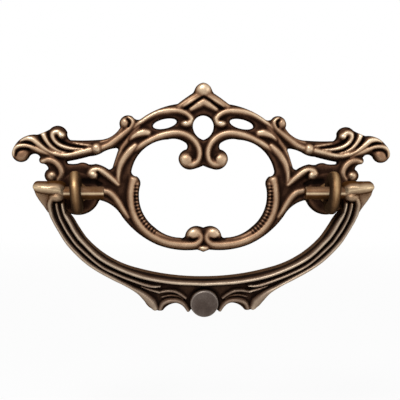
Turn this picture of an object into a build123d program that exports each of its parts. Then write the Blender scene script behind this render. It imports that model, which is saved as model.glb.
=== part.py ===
"""Drawer pull in cast brass: a pierced scrollwork backplate, a reeded bail and two eye posts.

Frame: +Z up, +X right, the front faces -Y. The drawer front meets the plate's back at Y = 0, and
the origin lies midway between the two posts, at the height of the bail's pins. Lengths are in mm.
"""
from math import asin, atan, ceil, cos, degrees, hypot, pi, radians, sin
import os

from build123d import *

os.makedirs("parts", exist_ok=True)

# Whole pull
post_spacing = 76.2
plate_height = 52.4
bail_drop = 38.0
panel_thickness = 19.0

# Backplate
web_thickness = 2.0
crest_share = 0.4
tip_length = 1.4
facet_angle = 20.0
least_facets = 3
bulb_sides = 10
bulb_profile = ((1.0, 0.0), (0.86, 0.67), (0.45, 1.0))
boss_diameter = 13.4
boss_rise = 1.2

# Eye posts
eye_diameter = 12.9
eye_width = 3.2
eye_chamfer = 0.8
post_turn = 5.0
collar_height = 0.35
collar_lip = 0.5
shoulder_diameter = 5.2
shoulder_clearance = 0.1
stud_diameter = 4.0
thread_depth = 0.23
thread_reach = 3.0
thread_tail = 2.4

# Bail
pin_diameter = 3.8
pin_clearance = 0.4
pin_tail = 6.5
eye_side_gap = 1.5
lug_diameter = 7.0
lug_length = 5.4
lug_heel = 3.0
arm_gap = 2.0
arm_offset = 0.7
bail_back = 2.6
bail_web = 3.8
reed_rise = 1.9
rib_rise = 0.9
medallion_diameter = 8.7
medallion_rise = 1.5
rest_gap = 0.2

# Nuts
nut_flats = 7.0
nut_thickness = 3.2
nut_clearance = 0.06
nut_chamfer = 0.35

half_spacing = post_spacing / 2
boss_height = web_thickness + boss_rise
pin_height = boss_height + collar_height + eye_diameter / 2
pin_radius = pin_diameter / 2
thread_radius = stud_diameter / 2 - thread_depth

# The scrollwork is drawn for posts 76.2 mm apart on a plate 52.4 mm high with a 38 mm bail,
# and these ratios carry the drawing to the sizes above.
stretch = post_spacing / 76.2
lift = plate_height / 52.4
drop = bail_drop / 38.0


def on_plate(points):
    return [(x * stretch, z * lift) for x, z in points]


def on_bail(points):
    return [(x * stretch, v * drop) for x, v in points]


def arc_chain(points):
    """Circular arcs end to end: each takes a start, a point on the way and an end."""
    for start, middle, end in zip(points[0::2], points[1::2], points[2::2]):
        ThreePointArc(start, middle, end)


def flat_sided(rings):
    """A solid with flat facets between rings of points, from the foot ring to the top ring."""
    facets = [Face(Wire.make_polygon(rings[0])), Face(Wire.make_polygon(rings[-1]))]
    for low, high in zip(rings, rings[1:]):
        for corner in range(len(low)):
            corners = (low[corner - 1], low[corner], high[corner], high[corner - 1])
            facets.append(Face(Wire.make_polygon(corners)))
    add(Solid(Shell(facets)))


def ridge(plane, points, width, rise):
    """A facetted ridge, wide at the foot and narrow at the crest, with a pointed tip at both ends.

    Its spine is an arc through the first three points, then one tangent arc to each further point.
    """
    with BuildLine() as spine:
        arc = ThreePointArc(*points[:3])
        for end in points[3:]:
            arc = TangentArc(arc @ 1, end, tangent=arc % 1)
    stations = []
    for arc in spine.edges():
        steps = max(least_facets, ceil(degrees(arc.length / arc.radius) / facet_angle))
        stations += [(arc @ (step / steps), arc % (step / steps)) for step in range(steps)]
    stations.append((arc @ 1, arc % 1))
    (first, ahead), (last, onward) = stations[0], stations[-1]

    def ring(height, half_width):
        left = [place + half_width * Vector(-along.Y, along.X) for place, along in stations]
        right = [place - half_width * Vector(-along.Y, along.X) for place, along in stations]
        tip = half_width * tip_length
        loop = [first - tip * ahead, *left, last + tip * onward, *reversed(right)]
        return [plane.from_local_coords((corner.X, corner.Y, height)) for corner in loop]

    flat_sided([ring(0, width / 2), ring(rise, crest_share * width / 2)])


def bulb(x, z, radius, rise):
    """A facetted round bulb standing on the web, stepped in towards its flat top."""
    turns = [2 * pi * (corner + 0.5) / bulb_sides for corner in range(bulb_sides)]
    rings = []
    for reach, height in bulb_profile:
        y = -web_thickness - height * rise
        rings.append(
            [(x + reach * radius * cos(turn), y, z + reach * radius * sin(turn)) for turn in turns]
        )
    flat_sided(rings)


# Backplate, drawn as its right half: outer edge from the ball finial down to the bottom leaf
plate_edge = on_plate(
    [
        (0.0, 34.3), (2.0, 33.5), (2.6, 30.5),
        (4.9, 29.2), (7.8, 27.3),
        (14.0, 25.6), (19.2, 22.6),
        (20.3, 22.4), (21.5, 23.2),
        (23.9, 23.6), (25.4, 20.0),
        (27.6, 17.6), (32.0, 16.2),
        (36.5, 16.0), (40.4, 16.1),
        (41.2, 16.9), (41.4, 18.4),
        (43.7, 20.4), (46.6, 19.4),
        (48.8, 18.3), (50.5, 17.7),
        (55.4, 16.4), (58.1, 12.2),
        (56.2, 9.5), (52.8, 11.1),
        (51.2, 12.1), (49.3, 10.8),
        (49.6, 9.8), (48.7, 9.0),
        (47.3, 8.4), (46.9, 7.4),
        (48.2, 5.6), (47.2, 3.5),
        (44.5, 1.5), (41.6, -1.5),
        (36.8, -1.9), (31.6, -2.2),
        (27.4, -4.2), (25.0, -7.0),
        (20.0, -12.3), (14.0, -15.9),
        (8.0, -17.4), (1.8, -17.4),
        (1.0, -17.7), (0.0, -18.1),
    ]
)
central_opening = on_plate(
    [
        (0.0, 8.4), (1.7, 7.7), (3.5, 7.2),
        (6.6, 8.2), (7.6, 10.4),
        (7.1, 12.1), (5.2, 13.4),
        (4.9, 14.4), (5.6, 15.5),
        (8.0, 16.5), (10.8, 16.4),
        (17.9, 13.7), (22.0, 6.6),
        (21.6, 5.6), (20.4, 5.1),
        (19.4, 3.9), (19.3, 2.3),
        (19.6, 1.0), (19.7, -0.5),
        (18.4, -6.3), (14.9, -10.5),
        (11.5, -12.7), (7.0, -13.7),
        (6.1, -13.7), (5.6, -13.2),
        (4.2, -10.8), (1.9, -10.1),
        (0.9, -10.3), (0.0, -10.6),
    ]
)
crest_opening = on_plate([(0.0, 23.8), (2.6, 22.4), (3.2, 20.2), (2.3, 17.9), (0.0, 16.3)])
wing_opening = on_plate(
    [
        (41.5, 9.6), (38.0, 10.3), (34.6, 11.2),
        (32.4, 11.6), (30.6, 12.5),
        (28.7, 13.3), (26.6, 13.7),
        (26.1, 13.4), (26.2, 12.7),
        (27.0, 10.2), (27.6, 8.3),
        (28.0, 7.5), (28.9, 7.2),
        (31.0, 8.2), (33.5, 8.7),
        (37.0, 8.9), (40.6, 8.9),
        (41.3, 9.1), (41.5, 9.6),
    ]
)
oval_centre = on_plate([(11.8, 21.2)])[0]
oval_length = 7.4
oval_width = 2.9
oval_tilt = -13.0

# Raised scrolls: centre line, width of the foot and rise above the web
plate_scrolls = {
    "crest leaf": ([(1.7, 29.4), (4.2, 27.9), (6.8, 26.4)], 1.5, 1.0),
    "upper scroll": ([(18.8, 21.3), (14.6, 23.7), (9.6, 24.8), (4.1, 22.0)], 2.1, 1.2),
    "main scroll": ([(21.0, 13.0), (15.7, 17.0), (9.0, 18.4), (1.3, 13.0), (4.0, 9.0)], 2.3, 1.4),
    "small leaf": ([(21.8, 16.1), (19.8, 17.6), (17.4, 18.2)], 1.9, 1.0),
    "long leaf": ([(21.4, 14.9), (24.3, 11.0), (26.0, 4.0)], 2.1, 1.3),
    "outer rim": ([(19.9, 20.6), (22.4, 17.4), (24.9, 13.6)], 1.3, 0.7),
    "scroll arm": ([(30.6, 14.7), (27.2, 16.0), (24.4, 18.6)], 2.0, 1.2),
    "wing rim": ([(48.3, 17.4), (46.0, 13.9), (41.8, 12.0), (34.6, 12.7)], 1.6, 1.2),
    "wing flute": ([(46.1, 17.9), (44.6, 15.1), (41.0, 13.7), (35.0, 14.1)], 1.4, 1.2),
    "wing top": ([(40.2, 15.3), (37.6, 15.1), (35.0, 15.2)], 1.1, 0.7),
    "wing scroll": ([(50.9, 17.0), (54.9, 15.6), (57.0, 12.4)], 1.7, 1.2),
    "side scroll": ([(48.7, 9.9), (45.6, 9.9), (43.3, 8.0), (43.2, 4.6)], 1.7, 1.1),
    "frame scroll": ([(26.9, 4.0), (29.9, 6.1), (32.8, 6.9)], 1.8, 1.3),
    "branch": ([(30.4, 0.2), (27.2, -1.2), (24.7, -5.0)], 1.6, 1.0),
    "bar": ([(22.0, 1.4), (21.5, -4.6), (17.9, -10.4), (5.2, -15.7), (1.2, -13.0)], 2.2, 1.3),
}
# Round ends of the scrolls: centre, radius and rise above the web
plate_bulbs = [
    (5.6, 21.1, 1.3, 1.3),
    (5.3, 10.2, 2.1, 1.8),
    (23.1, 21.2, 2.3, 1.8),
    (31.9, 13.9, 1.8, 2.0),
    (43.6, 18.1, 2.0, 1.6),
    (55.0, 11.9, 2.2, 1.8),
    (46.2, 5.5, 1.7, 1.4),
    (33.4, 5.6, 1.6, 1.5),
    (21.0, 3.4, 1.8, 1.4),
    (3.2, -12.7, 1.6, 1.4),
]
finial_height = 31.5
finial_radius = 2.8
finial_rise = 2.2

web_front = Plane.XZ.offset(web_thickness)

with BuildPart() as backplate:
    with BuildSketch(Plane.XZ):
        with BuildLine():
            arc_chain(plate_edge)
            Line(plate_edge[-1], plate_edge[0])
        make_face()
        for opening in (central_opening, crest_opening):
            with BuildLine():
                arc_chain(opening)
                Line(opening[-1], opening[0])
            make_face(mode=Mode.SUBTRACT)
        with BuildLine():
            arc_chain(wing_opening)
        make_face(mode=Mode.SUBTRACT)
        with Locations(oval_centre):
            Ellipse(oval_length / 2, oval_width / 2, rotation=oval_tilt, mode=Mode.SUBTRACT)
    extrude(amount=web_thickness)
    with BuildSketch(Plane.XZ):
        with Locations((half_spacing, 0)):
            Circle(boss_diameter / 2)
    extrude(amount=boss_height)
    for line, width, rise in plate_scrolls.values():
        ridge(web_front, on_plate(line), width, rise)
    for x, z, radius, rise in plate_bulbs:
        bulb(x * stretch, z * lift, radius, rise)
    mirror(about=Plane.YZ)
    bulb(0, finial_height * lift, finial_radius, finial_rise)
    with BuildSketch(Plane.XZ):
        with Locations((half_spacing, 0), (-half_spacing, 0)):
            Circle(shoulder_diameter / 2 + shoulder_clearance)
    extrude(amount=boss_height, mode=Mode.SUBTRACT)
backplate.part.label = "backplate"
export_step(backplate.part, "parts/backplate.step")

# Eye posts, one on either side, each turned a little in its hole
for side, name in ((-1, "left"), (1, "right")):
    post_x = side * half_spacing
    eye_along = Vector(side * cos(radians(post_turn)), 0, -sin(radians(post_turn)))
    eye_plane = Plane(origin=(post_x, -pin_height, 0), z_dir=eye_along)

    with BuildPart() as post:
        with BuildSketch(eye_plane.offset(-eye_width / 2)):
            Circle(eye_diameter / 2)
        extrude(amount=eye_width)
        chamfer(post.edges().filter_by(GeomType.CIRCLE), eye_chamfer)
        with BuildSketch(Plane.XZ.offset(boss_height)):
            with Locations((post_x, 0)):
                Circle(shoulder_diameter / 2 + collar_lip)
        extrude(amount=collar_height + eye_chamfer)
        with BuildSketch(Plane.XZ):
            with Locations((post_x, 0)):
                Circle(shoulder_diameter / 2)
        extrude(amount=boss_height)
        with BuildSketch(Plane.XZ):
            with Locations((post_x, 0)):
                Circle(stud_diameter / 2)
        extrude(amount=thread_reach - panel_thickness)
        with BuildSketch(Plane.XZ.offset(thread_reach - panel_thickness)):
            with Locations((post_x, 0)):
                Circle(thread_radius)
        extrude(amount=-thread_reach - nut_thickness - thread_tail)
        with BuildSketch(eye_plane.offset(-eye_width / 2)):
            Circle(pin_radius + pin_clearance)
        extrude(amount=eye_width, mode=Mode.SUBTRACT)
    post.part.label = f"{name}_eye_post"
    export_step(post.part, f"parts/{name}_eye_post.step")

# Nuts behind the drawer front, one to a post
with BuildPart() as nuts:
    with BuildSketch(Plane.XZ.offset(-panel_thickness)):
        with Locations((-half_spacing, 0), (half_spacing, 0)):
            RegularPolygon(nut_flats / 2, 6, major_radius=False)
            Circle(thread_radius + nut_clearance, mode=Mode.SUBTRACT)
    extrude(amount=-nut_thickness)
    nut_backs = nuts.faces().sort_by(Axis.Y)[-2:]
    chamfer([edge for face in nut_backs for edge in face.outer_wire().edges()], nut_chamfer)
nuts.part.label = "nuts"
export_step(nuts.part, "parts/nuts.step")

# Bail, drawn as its right half on a plane through the pins that leans back until the foot of the
# casting all but meets the drawer front
lean = asin((pin_height - rest_gap) / hypot(bail_drop, bail_back)) - atan(bail_back / bail_drop)
bail_plane = Plane(
    origin=(0, -pin_height, 0), x_dir=(1, 0, 0), z_dir=(0, -cos(lean), -sin(lean))
)
web_height = bail_web - bail_back
lug_face = half_spacing + eye_width / 2 + eye_side_gap
lug_radius = lug_diameter / 2
arm_top = (half_spacing + arm_offset, -eye_diameter / 2 - arm_gap)

bail_inner_edge = on_bail(
    [
        (0.0, -26.6), (10.5, -25.9), (20.3, -23.7),
        (29.8, -19.2), (35.5, -13.8),
        (37.5, -11.1),
    ]
) + [arm_top]
bail_outer_edge = [(48.6 * stretch, lug_radius)] + on_bail(
    [
        (49.9, 3.1), (50.2, 1.8),
        (48.9, -0.8), (47.6, -3.0),
        (44.6, -9.2), (41.0, -15.4),
        (34.8, -21.7), (26.5, -26.7),
        (21.3, -29.7), (18.0, -33.2),
        (16.4, -35.2), (14.2, -36.3),
        (13.2, -36.5), (12.3, -36.1),
        (11.0, -34.6), (8.4, -33.8),
        (6.6, -34.7), (5.3, -36.4),
    ]
)
foot_centre = (0, -bail_drop + medallion_diameter / 2)

# Reeds, leaf and bracket ribs: centre line, width of the foot and rise above the web
bail_reeds = [
    ([(0.0, -27.9), (10.7, -27.2), (20.8, -24.9), (37.0, -14.0), (41.4, -6.0)], 2.0, reed_rise),
    ([(44.2, -3.6), (41.6, -9.5), (38.5, -14.6), (24.4, -24.9), (14.2, -29.3)], 1.5, reed_rise),
    ([(47.6, -0.8), (43.9, -8.6), (40.2, -14.7), (25.9, -25.8), (17.6, -32.0)], 1.8, reed_rise),
    ([(17.6, -32.0), (16.4, -33.5), (14.7, -34.9)], 2.4, reed_rise),
    ([(12.6, -34.9), (9.6, -32.9), (5.6, -34.2)], 1.3, rib_rise),
    ([(12.8, -31.2), (9.6, -30.5), (6.0, -31.8)], 1.2, rib_rise),
]

with BuildPart() as bail:
    with BuildSketch(bail_plane.offset(-bail_back)):
        with BuildLine():
            arc_chain(bail_inner_edge)
            Polyline(
                arm_top,
                (lug_face, arm_top[1] + lug_heel),
                (lug_face, lug_radius),
                bail_outer_edge[0],
            )
            arc_chain(bail_outer_edge)
            Polyline(bail_outer_edge[-1], foot_centre, bail_inner_edge[0])
        make_face()
    extrude(amount=bail_web)
    for line, width, rise in bail_reeds:
        ridge(bail_plane.offset(web_height), on_bail(line), width, rise)
    with BuildSketch(Plane.YZ.offset(lug_face)):
        with Locations((-pin_height, 0)):
            Circle(lug_radius)
    extrude(amount=lug_length)
    with BuildSketch(Plane.YZ.offset(lug_face)):
        with Locations((-pin_height, 0)):
            Circle(pin_radius)
    extrude(amount=-(lug_face - half_spacing + eye_width / 2 + pin_tail))
    mirror(about=Plane.YZ)
    with BuildSketch(bail_plane.offset(-bail_back)):
        with Locations(foot_centre):
            Circle(medallion_diameter / 2)
    extrude(amount=bail_web + medallion_rise)
bail.part.label = "bail"
export_step(bail.part, "parts/bail.step")
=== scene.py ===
import bmesh
import bpy
import numpy as np
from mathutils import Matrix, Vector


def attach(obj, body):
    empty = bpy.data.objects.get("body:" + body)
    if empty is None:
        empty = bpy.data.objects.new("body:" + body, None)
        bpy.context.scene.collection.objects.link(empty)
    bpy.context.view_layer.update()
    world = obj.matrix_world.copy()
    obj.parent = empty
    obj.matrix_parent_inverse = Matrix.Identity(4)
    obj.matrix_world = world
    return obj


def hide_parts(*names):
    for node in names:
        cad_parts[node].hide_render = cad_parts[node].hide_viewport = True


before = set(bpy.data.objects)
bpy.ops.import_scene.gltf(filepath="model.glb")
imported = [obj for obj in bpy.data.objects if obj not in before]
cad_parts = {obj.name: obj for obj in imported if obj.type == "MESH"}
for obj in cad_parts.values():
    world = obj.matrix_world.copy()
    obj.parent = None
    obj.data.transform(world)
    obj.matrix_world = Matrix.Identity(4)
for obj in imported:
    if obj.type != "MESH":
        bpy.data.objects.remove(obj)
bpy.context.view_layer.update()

# Backplate: one flat-backed brass casting, pierced between its scrolls and chased on the front.
# It lies on the drawer front and is held there by the two posts through its round bosses. The
# brass was darkened all over, then rubbed back to bright metal on the raised scrolls.
MM = 0.001
plate_pitch = 0.22
plate_lowest = -18.6
plate_far_corner = (58.6, 34.8)
plate_web = 2.0
plate_edge_height = 0.7
plate_edge_roll = 0.9
boss_centre = (38.1, 0.0)
boss_radius = 6.7
boss_top = 3.2
boss_edge_slope = 9.0
# The bosses are darkened all over by a painted shade round the eye posts
boss_painted_shade = -0.1
shoulder_hole = 2.7
hole_land = 1.0

# Outlines of the right half, as arcs: a start, a point on the way, and an end that starts the next arc
plate_outline = [
    (0, 33.9), (1.95, 32.9), (2.7, 31.6), (3.1, 30.85), (3.85, 30.25), (5.85, 28.85), (7.9, 27.3),
    (14, 25.6), (19.2, 22.6), (20.3, 22.4), (21.5, 23.2), (23.9, 23.6), (25.4, 20), (27.6, 17.6),
    (32, 16.2), (36.5, 16), (40.4, 16.1), (41.2, 16.9), (41.4, 18.4), (43.7, 20.4), (46.6, 19.4),
    (48.8, 18.3), (50.5, 17.7), (55.4, 16.4), (58.1, 12.2), (56.2, 9.5), (52.8, 11.1), (51.2, 11.9),
    (49.6, 10.8), (49.9, 9.7), (49, 8.9), (47.6, 8.3), (47.1, 7.3), (48.3, 5.6), (47.2, 3.5), (44.5, 1.5),
    (41.6, -1.5), (36.8, -1.9), (31.6, -2.2), (27.4, -4.2), (25, -7), (20, -12.3), (14, -15.9), (8, -17.4),
    (1.8, -17.4), (1, -17.7), (0, -18.1),
]
central_opening = [
    (0, 8.4), (1.7, 7.7), (3.5, 7.2), (6.6, 8.2), (7.6, 10.4), (7.1, 12.1), (5.2, 13.4), (4.9, 14.4),
    (5.6, 15.5), (8, 16.5), (10.8, 16.4), (17.9, 13.7), (22, 6.6), (21.6, 5.6), (20.4, 5.1), (19.4, 3.9),
    (19.3, 2.3), (19.6, 1), (19.7, -0.5), (18.4, -6.3), (14.9, -10.5), (11.5, -12.7), (7, -13.7),
    (6.1, -13.7), (5.6, -13.2), (4.2, -10.8), (1.9, -10.1), (0.9, -10.3), (0, -10.6),
]
crest_opening = [(0, 23.8), (2.6, 22.4), (3.2, 20.2), (2.3, 17.9), (0, 16.3)]
wing_opening = [
    (41.5, 9.6), (38, 10.3), (34.6, 11.2), (32.4, 11.6), (30.6, 12.5), (28.7, 13.3), (26.6, 13.7),
    (26.1, 13.4), (26.2, 12.7), (27, 10.2), (27.6, 8.3), (28, 7.5), (28.9, 7.2), (30.6, 8.2), (32.8, 8.9),
    (34, 8.7), (35, 8.75), (36.6, 9.3), (38.2, 9), (39.4, 8.85), (40.6, 8.9), (41.3, 9.1), (41.5, 9.6),
]
oval_centre = (11.8, 21.2)
oval_half_axes = (3.7, 1.45)
oval_tilt = np.radians(-13.0)

# Raised bars: centre line, half width along it, rise above the web along it, how far rubbed bright.
# A larger spread rubs them bright nearer to their edges.
scroll_spread = 1.2
plate_scrolls = [
    ([(21.5, 19.7), (19.4, 21.4), (17, 23.1), (14.2, 24.4), (10.9, 25), (7.9, 25.1), (5.8, 24.5),
      (4.3, 23.4), (3.75, 22.3), (4.2, 21.5), (5, 21.2)],
     (0.6, 0.9, 1.1, 1.2, 1.2, 1.15, 1.1, 1.05, 1.1, 1.2, 1.2),
     (0.8, 1.2, 1.4, 1.4, 1.4, 1.4, 1.4, 1.5, 1.5, 1.5, 1.4), 0.79),
    ([(21.6, 12.6), (20, 13.9), (17.3, 15.6), (14, 17.2), (10.9, 18.1), (7.9, 18.4), (5.2, 17.7),
      (3, 16.1), (1.65, 14), (1.25, 11.9), (1.8, 9.9), (3.2, 8.8), (4.6, 8.8)],
     (0.6, 1.1, 1.2, 1.2, 1.2, 1.15, 1.1, 1.05, 1.1), (0.7, 1.2, 1.5, 1.5, 1.5, 1.5, 1.5, 1.5, 1.5), 0.76),
    ([(19.7, 20.4), (22.1, 17.3), (24.5, 14.2), (26.2, 11.2), (27.2, 8.4)],
     (0.7, 0.9, 0.85, 0.6), (0.8, 0.9, 0.9, 0.6), 0.45),
    ([(31.3, 13.6), (29.1, 14.5), (26.9, 16), (24.9, 17.6), (22.9, 19.3), (21.7, 20.9), (21.8, 22.2),
      (22.9, 22.9)],
     (1.15, 1.25, 1.2, 1.05, 0.9, 0.75), (1.3, 1.4, 1.4, 1.3, 1.3, 1.1), 0.68),
    ([(31.2, 15.4), (28.5, 16.5), (26.2, 18.4), (24.8, 19.9)], (0.6, 0.8, 0.6), (0.8, 0.8, 0.6), 0.4),
    ([(34.4, 5.9), (33.8, 6.7), (32.4, 7), (30.9, 6.6), (29.1, 5.3), (27.4, 3.9), (26, 2.6)],
     (1.2, 1.25, 1.25, 1.25, 1.2, 1.1, 0.8), (1.5, 1.5, 1.5, 1.5, 1.4, 1.2, 0.8), 0.9),
    ([(36.9, -1.9), (33.9, -1.6), (31.4, -1.2)], (0.4, 0.45, 0.45), (1.5, 1.7, 1.6), 0.55),
    ([(30.6, 0.7), (28.7, 0.2), (27.2, -1), (25.8, -2.8), (24.7, -4.6), (23.6, -6.3), (22.9, -7.4)],
     (1.1, 1.25, 1.15, 0.95, 0.6), (1.2, 1.3, 1.2, 1, 0.6), 0.75),
    ([(21.4, 4), (21.8, 1.8), (22.1, -0.6), (22, -3.2), (21.2, -6.4), (19.6, -9.3), (17.2, -11.9),
      (14, -13.9), (10.5, -15.2), (7.2, -15.7), (4.1, -15.8), (2.2, -15.4), (1, -14.2), (0.95, -13),
      (1.8, -12.2), (3, -12.4)],
     (1.6, 1.5, 1.45, 1.4, 1.35, 1.3, 1.2, 1.05, 1.15), (1.4, 1.6, 1.6, 1.6, 1.6, 1.5, 1.5, 1.4, 1.6), 0.7),
    ([(20.3, 2.8), (20.4, -0.6), (20, -4.2), (18.8, -7.6), (16.8, -10.2), (14.1, -12.2), (10.6, -13.4),
      (7, -14)],
     (0.9, 0.9, 0.8, 0.5), (1.1, 1.1, 1, 0.6), 0.5),
]
# Leaves, wing flutes and the crest's chevrons: the same four values, rubbed bright nearly to their edges
leaf_spread = 2.2
plate_leaves = [
    ([(0, 30.7), (1.6, 29.7), (4.3, 28.2), (7, 26.65), (8.4, 25.9)],
     (1.3, 1.4, 1.3, 1.1, 0.5), (1.5, 1.4, 1.3, 1.1, 0.7), 0.46),
    ([(0, 27.8), (1.5, 27), (3.9, 25.5)], (1.45, 1.3, 0.8), (1.5, 1.5, 1), 0.74),
    ([(23.2, 15.5), (21.9, 16.9), (20.1, 17.9), (18.4, 18.4), (17, 18.3)],
     (0.45, 0.85, 1.2, 1.4, 1.2), (0.7, 1, 1.3, 1.4, 1.2), 0.84),
    ([(20.8, 14.3), (22.4, 12.9), (23.9, 11.1), (25.1, 9), (25.7, 7), (26, 4.8), (25.8, 3)],
     (1.15, 1.3, 1.3, 1.2, 1, 0.8, 0.5), (1.2, 1.5, 1.5, 1.4, 1.2, 1, 0.7), 0.7),
    ([(57.4, 11.4), (57.3, 13), (56.1, 14), (53.8, 14.3), (51.5, 13.7), (49.1, 12.7), (47, 11.8),
      (45.2, 11.1)],
     (0.75, 0.85, 0.85, 0.85, 0.85, 0.7, 0.4), (1, 1.3, 1.3, 1.2, 1.1, 0.9, 0.5), 0.74),
    ([(55.2, 15.7), (53.4, 16.4), (51.7, 16.1), (50.2, 15), (48.6, 13.8), (46.9, 12.8), (44.9, 11.9),
      (42.6, 11.4), (40.2, 11.6), (37.4, 12.3), (34.3, 13.1)],
     (0.5, 1.1, 1.15, 1.1, 1, 0.95, 0.9, 0.95, 1.05, 1.1),
     (0.9, 1.3, 1.4, 1.4, 1.3, 1.3, 1.2, 1.2, 1.2, 1.2), 0.82),
    ([(48.6, 17.9), (47.9, 16.4), (46.7, 14.7), (45.2, 13.4), (43.4, 12.6), (41.3, 12.2)],
     (1, 0.95, 0.85, 0.72, 0.55, 0.35), (1.5, 1.5, 1.4, 1.2, 1, 0.6), 0.84),
    ([(42.9, 17.5), (44.2, 18.4), (45.4, 18.1), (45.7, 17.1), (45.1, 15.8), (43.9, 14.7), (42.2, 13.9),
      (40.1, 13.4), (38.2, 13.3), (36.4, 13.4)],
     (1.1, 1.05, 1, 0.95, 0.85, 0.8, 0.8, 0.75, 0.55, 0.3),
     (1.6, 1.6, 1.6, 1.5, 1.4, 1.3, 1.3, 1.2, 1.2, 1), 0.84),
    ([(39.6, 15.1), (38.3, 14.9), (36.5, 14.6), (34.4, 14.3)], (0.3, 0.5, 0.55), (0.6, 1, 1), 0.66),
    ([(48.8, 9.5), (47.1, 10.1), (45.3, 9.6), (43.9, 8.4), (43.1, 6.9), (43.1, 5.4), (43.9, 4.2)],
     (0.8, 1.1, 1.15, 1.05, 0.85), (0.9, 1.3, 1.4, 1.3, 0.9), 0.6),
]
# Balls and pearls: centre, half sizes, top above the back plane and how far rubbed bright
ball_spread = 3.5
plate_balls = [
    ((23.9, 21.3), (1.6, 1.75), 3.7, 0.5), ((32.5, 13.5), (1.8, 1.7), 3.8, 0.74),
    ((45.9, 5.3), (1.5, 1.4), 3.4, 0.65), ((0, -16.9), (1.9, 0.9), 3.1, 0.75),
]
# Finial and curl heads, which flow into the bars that end in them: the same four values
head_spread = 2.8
plate_heads = [
    ((0, 31.4), (2.75, 2.5), 4.2, 0.85), ((5.2, 10.1), (2.6, 2.3), 3.9, 0.7),
    ((5.4, 21.15), (1.75, 1.15), 3.75, 0.82), ((43.1, 17.4), (1.4, 1.1), 3.9, 0.85),
    ((54.9, 11.5), (2.4, 2.3), 3.6, 0.36), ((33.5, 5.5), (1.9, 1.5), 3.75, 0.85),
    ((3, -12.4), (2.7, 2.1), 3.8, 0.72),
]
# The arris along each slope of the crest, raised and worn, its bright line also a painted highlight: the
# same four values as a bar
plate_arris_and_highlight = ([(1.3, 29.5), (4.1, 27.75), (6.2, 26.4)], (0.45, 0.65, 0.45), (1.45, 1.5, 1.2), 0.95)
# Chased creases, and one dip darkened as a painted shadow: centre line, half width along it and depth
plate_creases = [
    ([(23.3, 22.5), (22.6, 21.4), (22.9, 20.2)], (0.4,), 0.7),
    ([(6, 25.5), (4.6, 26.35), (3.2, 27.3), (1.6, 28.5), (0, 29.45)], (0.2, 0.3, 0.33, 0.33, 0.3), 0.7),
    ([(4.3, 11.8), (3.4, 10.8), (3.5, 9.7)], (0.2, 0.42, 0.15), 0.7),
    ([(4.5, -13.5), (3.3, -14.15), (1.9, -13.7)], (0.25, 0.45, 0.2), 0.7),
    ([(32.4, 6.4), (31.9, 5.8), (32, 4.8)], (0.3, 0.4, 0.4), 0.8),
    # This broad dip above the pin is darkened as a painted shadow, not a chased crease
    ([(36.4, 3.6), (33.6, 3.4), (31.2, 2.7)], (1.1, 1.1, 0.6), 0.4),
    ([(56.7, 11.2), (56.3, 12.4), (55.1, 13.2), (52.6, 13.2)], (0.3, 0.45, 0.45, 0.2), 0.9),
    ([(55.1, 15.3), (53.6, 15.35), (52.1, 15), (50.7, 14.2)], (0.15, 0.42, 0.4, 0.1), 0.8),
    ([(49.6, 17.2), (48.9, 15.5), (47.7, 14.1), (46.4, 12.95), (45, 12.3)],
     (0.52, 0.44, 0.36, 0.26, 0.1), 0.6),
    ([(47.2, 18.5), (46.6, 16.2), (45.2, 14.4), (43.4, 13.2), (41.4, 12.7), (39.6, 12.6)],
     (0.28, 0.38, 0.38, 0.34, 0.28, 0.2), 0.6),
    ([(44.2, 17.2), (43.7, 16.1), (42.5, 15.2), (40.4, 14.4), (38.4, 14.1), (36.4, 13.9)],
     (0.32, 0.46, 0.5, 0.38, 0.28, 0.2), 0.6),
]
notch_line = [(20.4, 2.1), (20.45, -1.1), (20.15, -4.3), (19.05, -7.3), (17.2, -9.9), (14.7, -11.9)]
notch_count = 15
notch_reach = 0.85
notch_fade = 0.25
notch_depth = 0.6
notch_sharpness = 1.6
notch_land = 0.3
# Width and depth of the grooves between forms that meet
plate_groove = (0.3, 0.4)
# Wear and painted light: its ground level, then what height, polish, edge, groove and notch add or take
# away, and the least. The edge's share is painted shade on the rolled edges, and the polish also holds
# painted shade on the bosses and above the pins and a painted highlight on the crest's arris.
plate_wear_and_light_shares = (0.25, 0.32, 0.62, -0.3, -0.3, -0.6)
plate_least_wear = 0.02
plate_blur_passes = 22
# Rows of wall round the edges, their wear and the back's
plate_wall = (2, 0.16, 0.42)


def arc_chain(points, spacing=0.3):
    """Points on circular arcs laid end to end. Each arc takes a start, a point on the way and an end;
    its centre is where the chords' perpendicular bisectors meet, and the points step evenly round it."""
    points = np.asarray(points, float)
    runs = []
    for a, b, c in zip(points[:-2:2], points[1:-1:2], points[2::2]):
        ab, ac = b - a, c - a
        turn = 2 * (ab[0] * ac[1] - ab[1] * ac[0])
        if abs(turn) < 1e-6:
            share = np.linspace(0, 1, max(2, int(np.hypot(*ac) / spacing)), endpoint=False)
            runs.append(a + share[:, None] * ac)
            continue
        ab_square, ac_square = ab @ ab, ac @ ac
        offset_x = ac[1] * ab_square - ab[1] * ac_square
        offset_z = ab[0] * ac_square - ac[0] * ab_square
        offset = np.array([offset_x, offset_z]) / turn
        centre, radius = a + offset, np.hypot(*offset)
        angle = [np.arctan2(*(p - centre)[::-1]) for p in (a, b, c)]
        sweep, middle = (angle[2] - angle[0]) % (2 * np.pi), (angle[1] - angle[0]) % (2 * np.pi)
        sweep -= 2 * np.pi * (middle > sweep)
        share = np.linspace(0, 1, max(2, int(abs(sweep) * radius / spacing) + 1), endpoint=False)
        place = angle[0] + share * sweep
        runs.append(centre + radius * np.stack([np.cos(place), np.sin(place)], 1))
    return np.concatenate(runs + [points[-1:]])


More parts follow.
